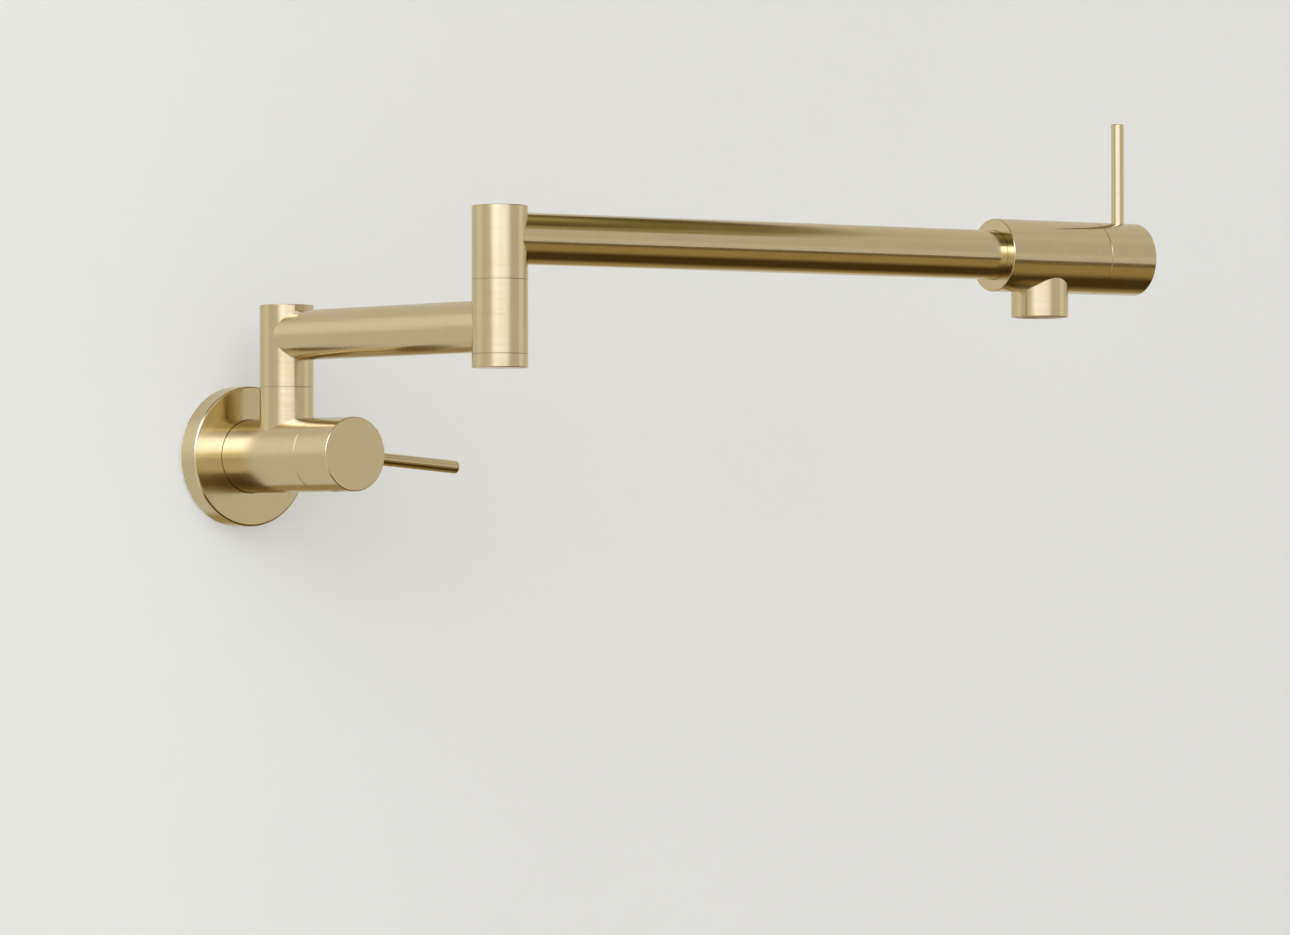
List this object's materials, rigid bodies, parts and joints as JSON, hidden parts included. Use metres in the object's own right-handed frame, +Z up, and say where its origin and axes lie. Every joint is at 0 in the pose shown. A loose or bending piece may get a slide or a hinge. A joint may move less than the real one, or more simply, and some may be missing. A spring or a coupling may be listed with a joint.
{
  "type": "wall mounted pot filler",
  "caption": "Wall mounted tap on a double jointed folding arm, with a quarter turn lever valve at the wall and another at the downward outlet.",
  "frame": {"origin": "the inlet's axis at the finished wall, in the plane of the mounting plate's back", "axes": "+Y into the wall, -Y out over the hob, +X to the right as one faces the wall, +Z up"},
  "size_m": [0.4038, 0.2939, 0.1987],
  "materials": {
    "satin_gold": "satin, finely brushed, with a clear gold coloured coating",
    "raw_brass": "machined, uncoated",
    "steel": "plain stainless",
    "ceramic": "lapped alumina ceramic",
    "rubber": "matte",
    "plastic": "moulded, matte"
  },
  "bodies": {
    "wall_body": {"mounting_plate": "steel", "wall_screw_1": "steel", "wall_screw_2": "steel", "wall_screw_3": "steel", "body_lock_screw": "steel", "wall_gasket": "rubber", "escutcheon": "satin_gold", "escutcheon_o_ring": "rubber", "inlet_nipple": "raw_brass", "inlet_screen": "steel", "valve_body": "satin_gold", "wall_cartridge_housing": "raw_brass", "wall_seat_seal": "rubber", "wall_fixed_disc": "ceramic", "wall_gland_nut": "raw_brass", "riser_stub": "satin_gold", "riser_spindle": "raw_brass", "riser_o_ring_1": "rubber", "riser_o_ring_2": "rubber", "riser_glide_ring": "plastic", "riser_retaining_screw": "steel"},
    "wall_handle": {"wall_hub": "satin_gold", "wall_lever": "satin_gold", "wall_stem": "raw_brass", "wall_stem_o_ring": "rubber", "wall_moving_disc": "ceramic", "wall_grub_screw": "steel"},
    "inner_arm": {"riser_sleeve": "satin_gold", "riser_cap": "satin_gold", "arm_1_tube": "satin_gold", "elbow_lower_barrel": "satin_gold", "elbow_bottom_cap": "satin_gold", "elbow_cap_o_ring": "rubber", "elbow_spindle": "raw_brass", "elbow_o_ring_1": "rubber", "elbow_o_ring_2": "rubber", "elbow_glide_ring": "plastic", "elbow_retaining_screw": "steel"},
    "outer_arm": {"elbow_upper_barrel": "satin_gold", "elbow_top_cap": "satin_gold", "arm_2_tube": "satin_gold", "head_body": "satin_gold", "spout_collar": "satin_gold", "aerator_housing": "satin_gold", "aerator_insert": "plastic", "aerator_gasket": "rubber", "spout_cartridge_housing": "raw_brass", "spout_seat_seal": "rubber", "spout_fixed_disc": "ceramic", "spout_gland_nut": "raw_brass"},
    "spout_handle": {"spout_hub": "satin_gold", "spout_lever": "satin_gold", "spout_stem": "raw_brass", "spout_stem_o_ring": "rubber", "spout_moving_disc": "ceramic", "spout_grub_screw": "steel"}
  },
  "joints": [
    {"name": "riser_swivel", "type": "hinge", "parent": "wall_body", "child": "inner_arm", "pos_m": [0, -0.0412, 0.0328], "axis": [0, 0, 1], "range_deg": [-90, 90]},
    {"name": "elbow_swivel", "type": "hinge", "parent": "inner_arm", "child": "outer_arm", "pos_m": [0, -0.2042, 0.0787], "axis": [0, 0, 1], "continuous": true},
    {"name": "wall_handle_turn", "type": "hinge", "parent": "wall_body", "child": "wall_handle", "pos_m": [0, -0.07, 0], "axis": [0, -1, 0], "range_deg": [-85.6, 4.4]},
    {"name": "spout_handle_turn", "type": "hinge", "parent": "outer_arm", "child": "spout_handle", "pos_m": [0.34044, -0.246, 0.0979], "axis": [0.9925, -0.1219, 0], "range_deg": [0, 90]}
  ]
}
